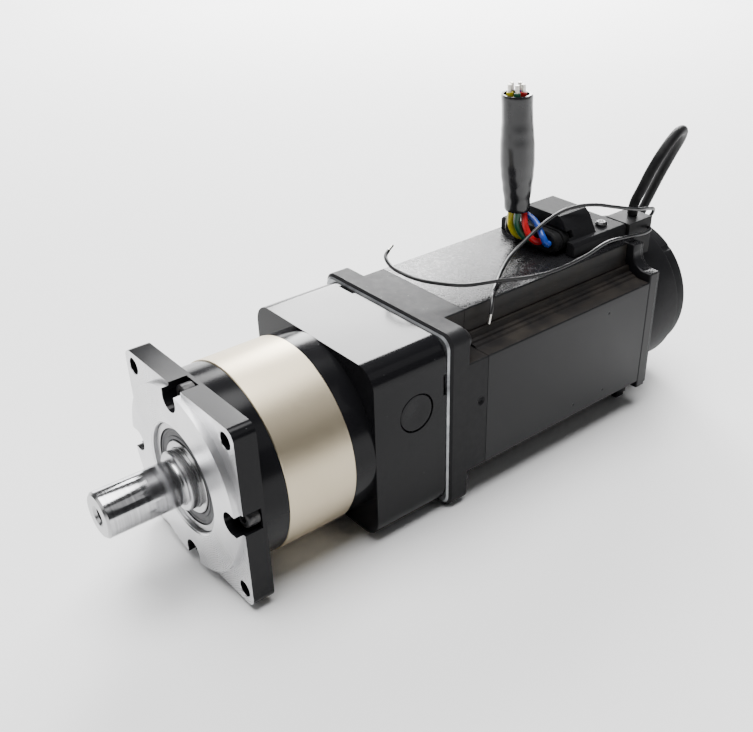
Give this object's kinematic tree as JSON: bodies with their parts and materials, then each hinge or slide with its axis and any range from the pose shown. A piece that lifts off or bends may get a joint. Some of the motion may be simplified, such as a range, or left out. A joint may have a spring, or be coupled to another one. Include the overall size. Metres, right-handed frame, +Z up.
{
  "type": "inline gear reducer",
  "caption": "Inline planetary gear reducer with a square mounting flange and round output shaft, its drive motor bolted on behind with a power lead, signal wires and encoder cable.",
  "frame": {"origin": "centre of the base of the body's box without the free leads, on the surface that the motor rests on", "axes": "+X along the shaft axis from the output shaft to the rear of the motor, +Z up"},
  "size_m": [0.3407, 0.125, 0.1623],
  "materials": {
    "anodised_black": "black anodised machined aluminium, satin, near mirror on flat faces",
    "bare_aluminium": "bare face turned aluminium with fine concentric tool marks",
    "satin_nickel": "fine bead blasted nickel plate, warm grey",
    "shaft_steel": "ground and polished steel",
    "bearing_steel": "polished bearing steel",
    "gear_steel": "hobbed case hardened steel with an oil film",
    "black_oxide": "black oxide steel",
    "motor_paint": "black powder coat with a slight orange peel",
    "cover_plastic": "moulded black glass filled nylon",
    "lead_rubber": "moulded black rubber",
    "sleeve_film": "glossy black heat shrink tube with long creases",
    "lamination": "stacked electrical steel",
    "copper": "enamelled copper winding",
    "circuit_board": "green solder mask",
    "wire_yellow": "extruded insulation",
    "wire_green": "extruded insulation",
    "wire_red": "extruded insulation",
    "wire_blue": "extruded insulation",
    "wire_black": "extruded insulation"
  },
  "bodies": {
    "housing": {"access_plug": "anodised_black", "carrier_bearing_outer_race": "bearing_steel", "cover_screw_1": "black_oxide", "cover_screw_2": "black_oxide", "encoder_board": "circuit_board", "encoder_boot": "lead_rubber", "encoder_cable": "wire_black", "encoder_connector": "cover_plastic", "housing_screw_1": "black_oxide", "housing_screw_2": "black_oxide", "housing_screw_3": "black_oxide", "housing_screw_4": "black_oxide", "input_bearing_outer_race": "bearing_steel", "input_housing": "anodised_black", "lead_conductor_black": "wire_black", "lead_conductor_blue": "wire_blue", "lead_conductor_green": "wire_green", "lead_conductor_red": "wire_red", "lead_conductor_yellow": "wire_yellow", "lead_cover": "cover_plastic", "lead_cover_screw": "black_oxide", "lead_grommet": "lead_rubber", "lead_sleeve": "sleeve_film", "motor_body": "motor_paint", "motor_front_bearing_outer_race": "bearing_steel", "motor_front_bell": "motor_paint", "motor_rear_bearing_outer_race": "bearing_steel", "motor_rear_bell": "motor_paint", "motor_screw_1": "black_oxide", "motor_screw_2": "black_oxide", "motor_screw_3": "black_oxide", "motor_screw_4": "black_oxide", "output_bearing_outer_race": "bearing_steel", "output_bearing_shield": "bearing_steel", "output_housing": "anodised_black", "rear_cover": "cover_plastic", "ring_gear": "satin_nickel", "signal_wire_1": "wire_black", "signal_wire_2": "wire_black", "stator_core": "lamination", "stator_winding": "copper"},
    "output": {"output_shaft": "shaft_steel", "carrier_plate": "gear_steel", "planet_pin_1": "shaft_steel", "planet_pin_2": "shaft_steel", "planet_pin_3": "shaft_steel", "output_bearing_inner_race": "bearing_steel", "carrier_bearing_inner_race": "bearing_steel"},
    "planet_1": {"planet_gear_1": "gear_steel"},
    "planet_2": {"planet_gear_2": "gear_steel"},
    "planet_3": {"planet_gear_3": "gear_steel"},
    "rotor": {"sun_gear": "gear_steel", "clamp_hub": "gear_steel", "clamp_screw": "black_oxide", "input_bearing_inner_race": "bearing_steel", "motor_shaft": "shaft_steel", "rotor_core": "lamination", "motor_front_bearing_inner_race": "bearing_steel", "motor_rear_bearing_inner_race": "bearing_steel", "encoder_disc": "bare_aluminium"}
  },
  "joints": [
    {"name": "output_spin", "type": "hinge", "parent": "housing", "child": "output", "pos_m": [-0.076, 0, 0.043], "axis": [1, 0, 0], "continuous": true},
    {"name": "planet_1_spin", "type": "hinge", "parent": "output", "child": "planet_1", "pos_m": [-0.076, 0, 0.06175], "axis": [1, 0, 0], "continuous": true},
    {"name": "planet_2_spin", "type": "hinge", "parent": "output", "child": "planet_2", "pos_m": [-0.076, -0.01624, 0.03363], "axis": [1, 0, 0], "continuous": true},
    {"name": "planet_3_spin", "type": "hinge", "parent": "output", "child": "planet_3", "pos_m": [-0.076, 0.01624, 0.03363], "axis": [1, 0, 0], "continuous": true},
    {"name": "rotor_spin", "type": "hinge", "parent": "housing", "child": "rotor", "pos_m": [-0.076, 0, 0.043], "axis": [1, 0, 0], "continuous": true}
  ],
  "couplings": [
    {"joint": "planet_1_spin", "follows": "output_spin", "ratio": -2.6667},
    {"joint": "planet_2_spin", "follows": "output_spin", "ratio": -2.6667},
    {"joint": "planet_3_spin", "follows": "output_spin", "ratio": -2.6667},
    {"joint": "rotor_spin", "follows": "output_spin", "ratio": 5}
  ]
}
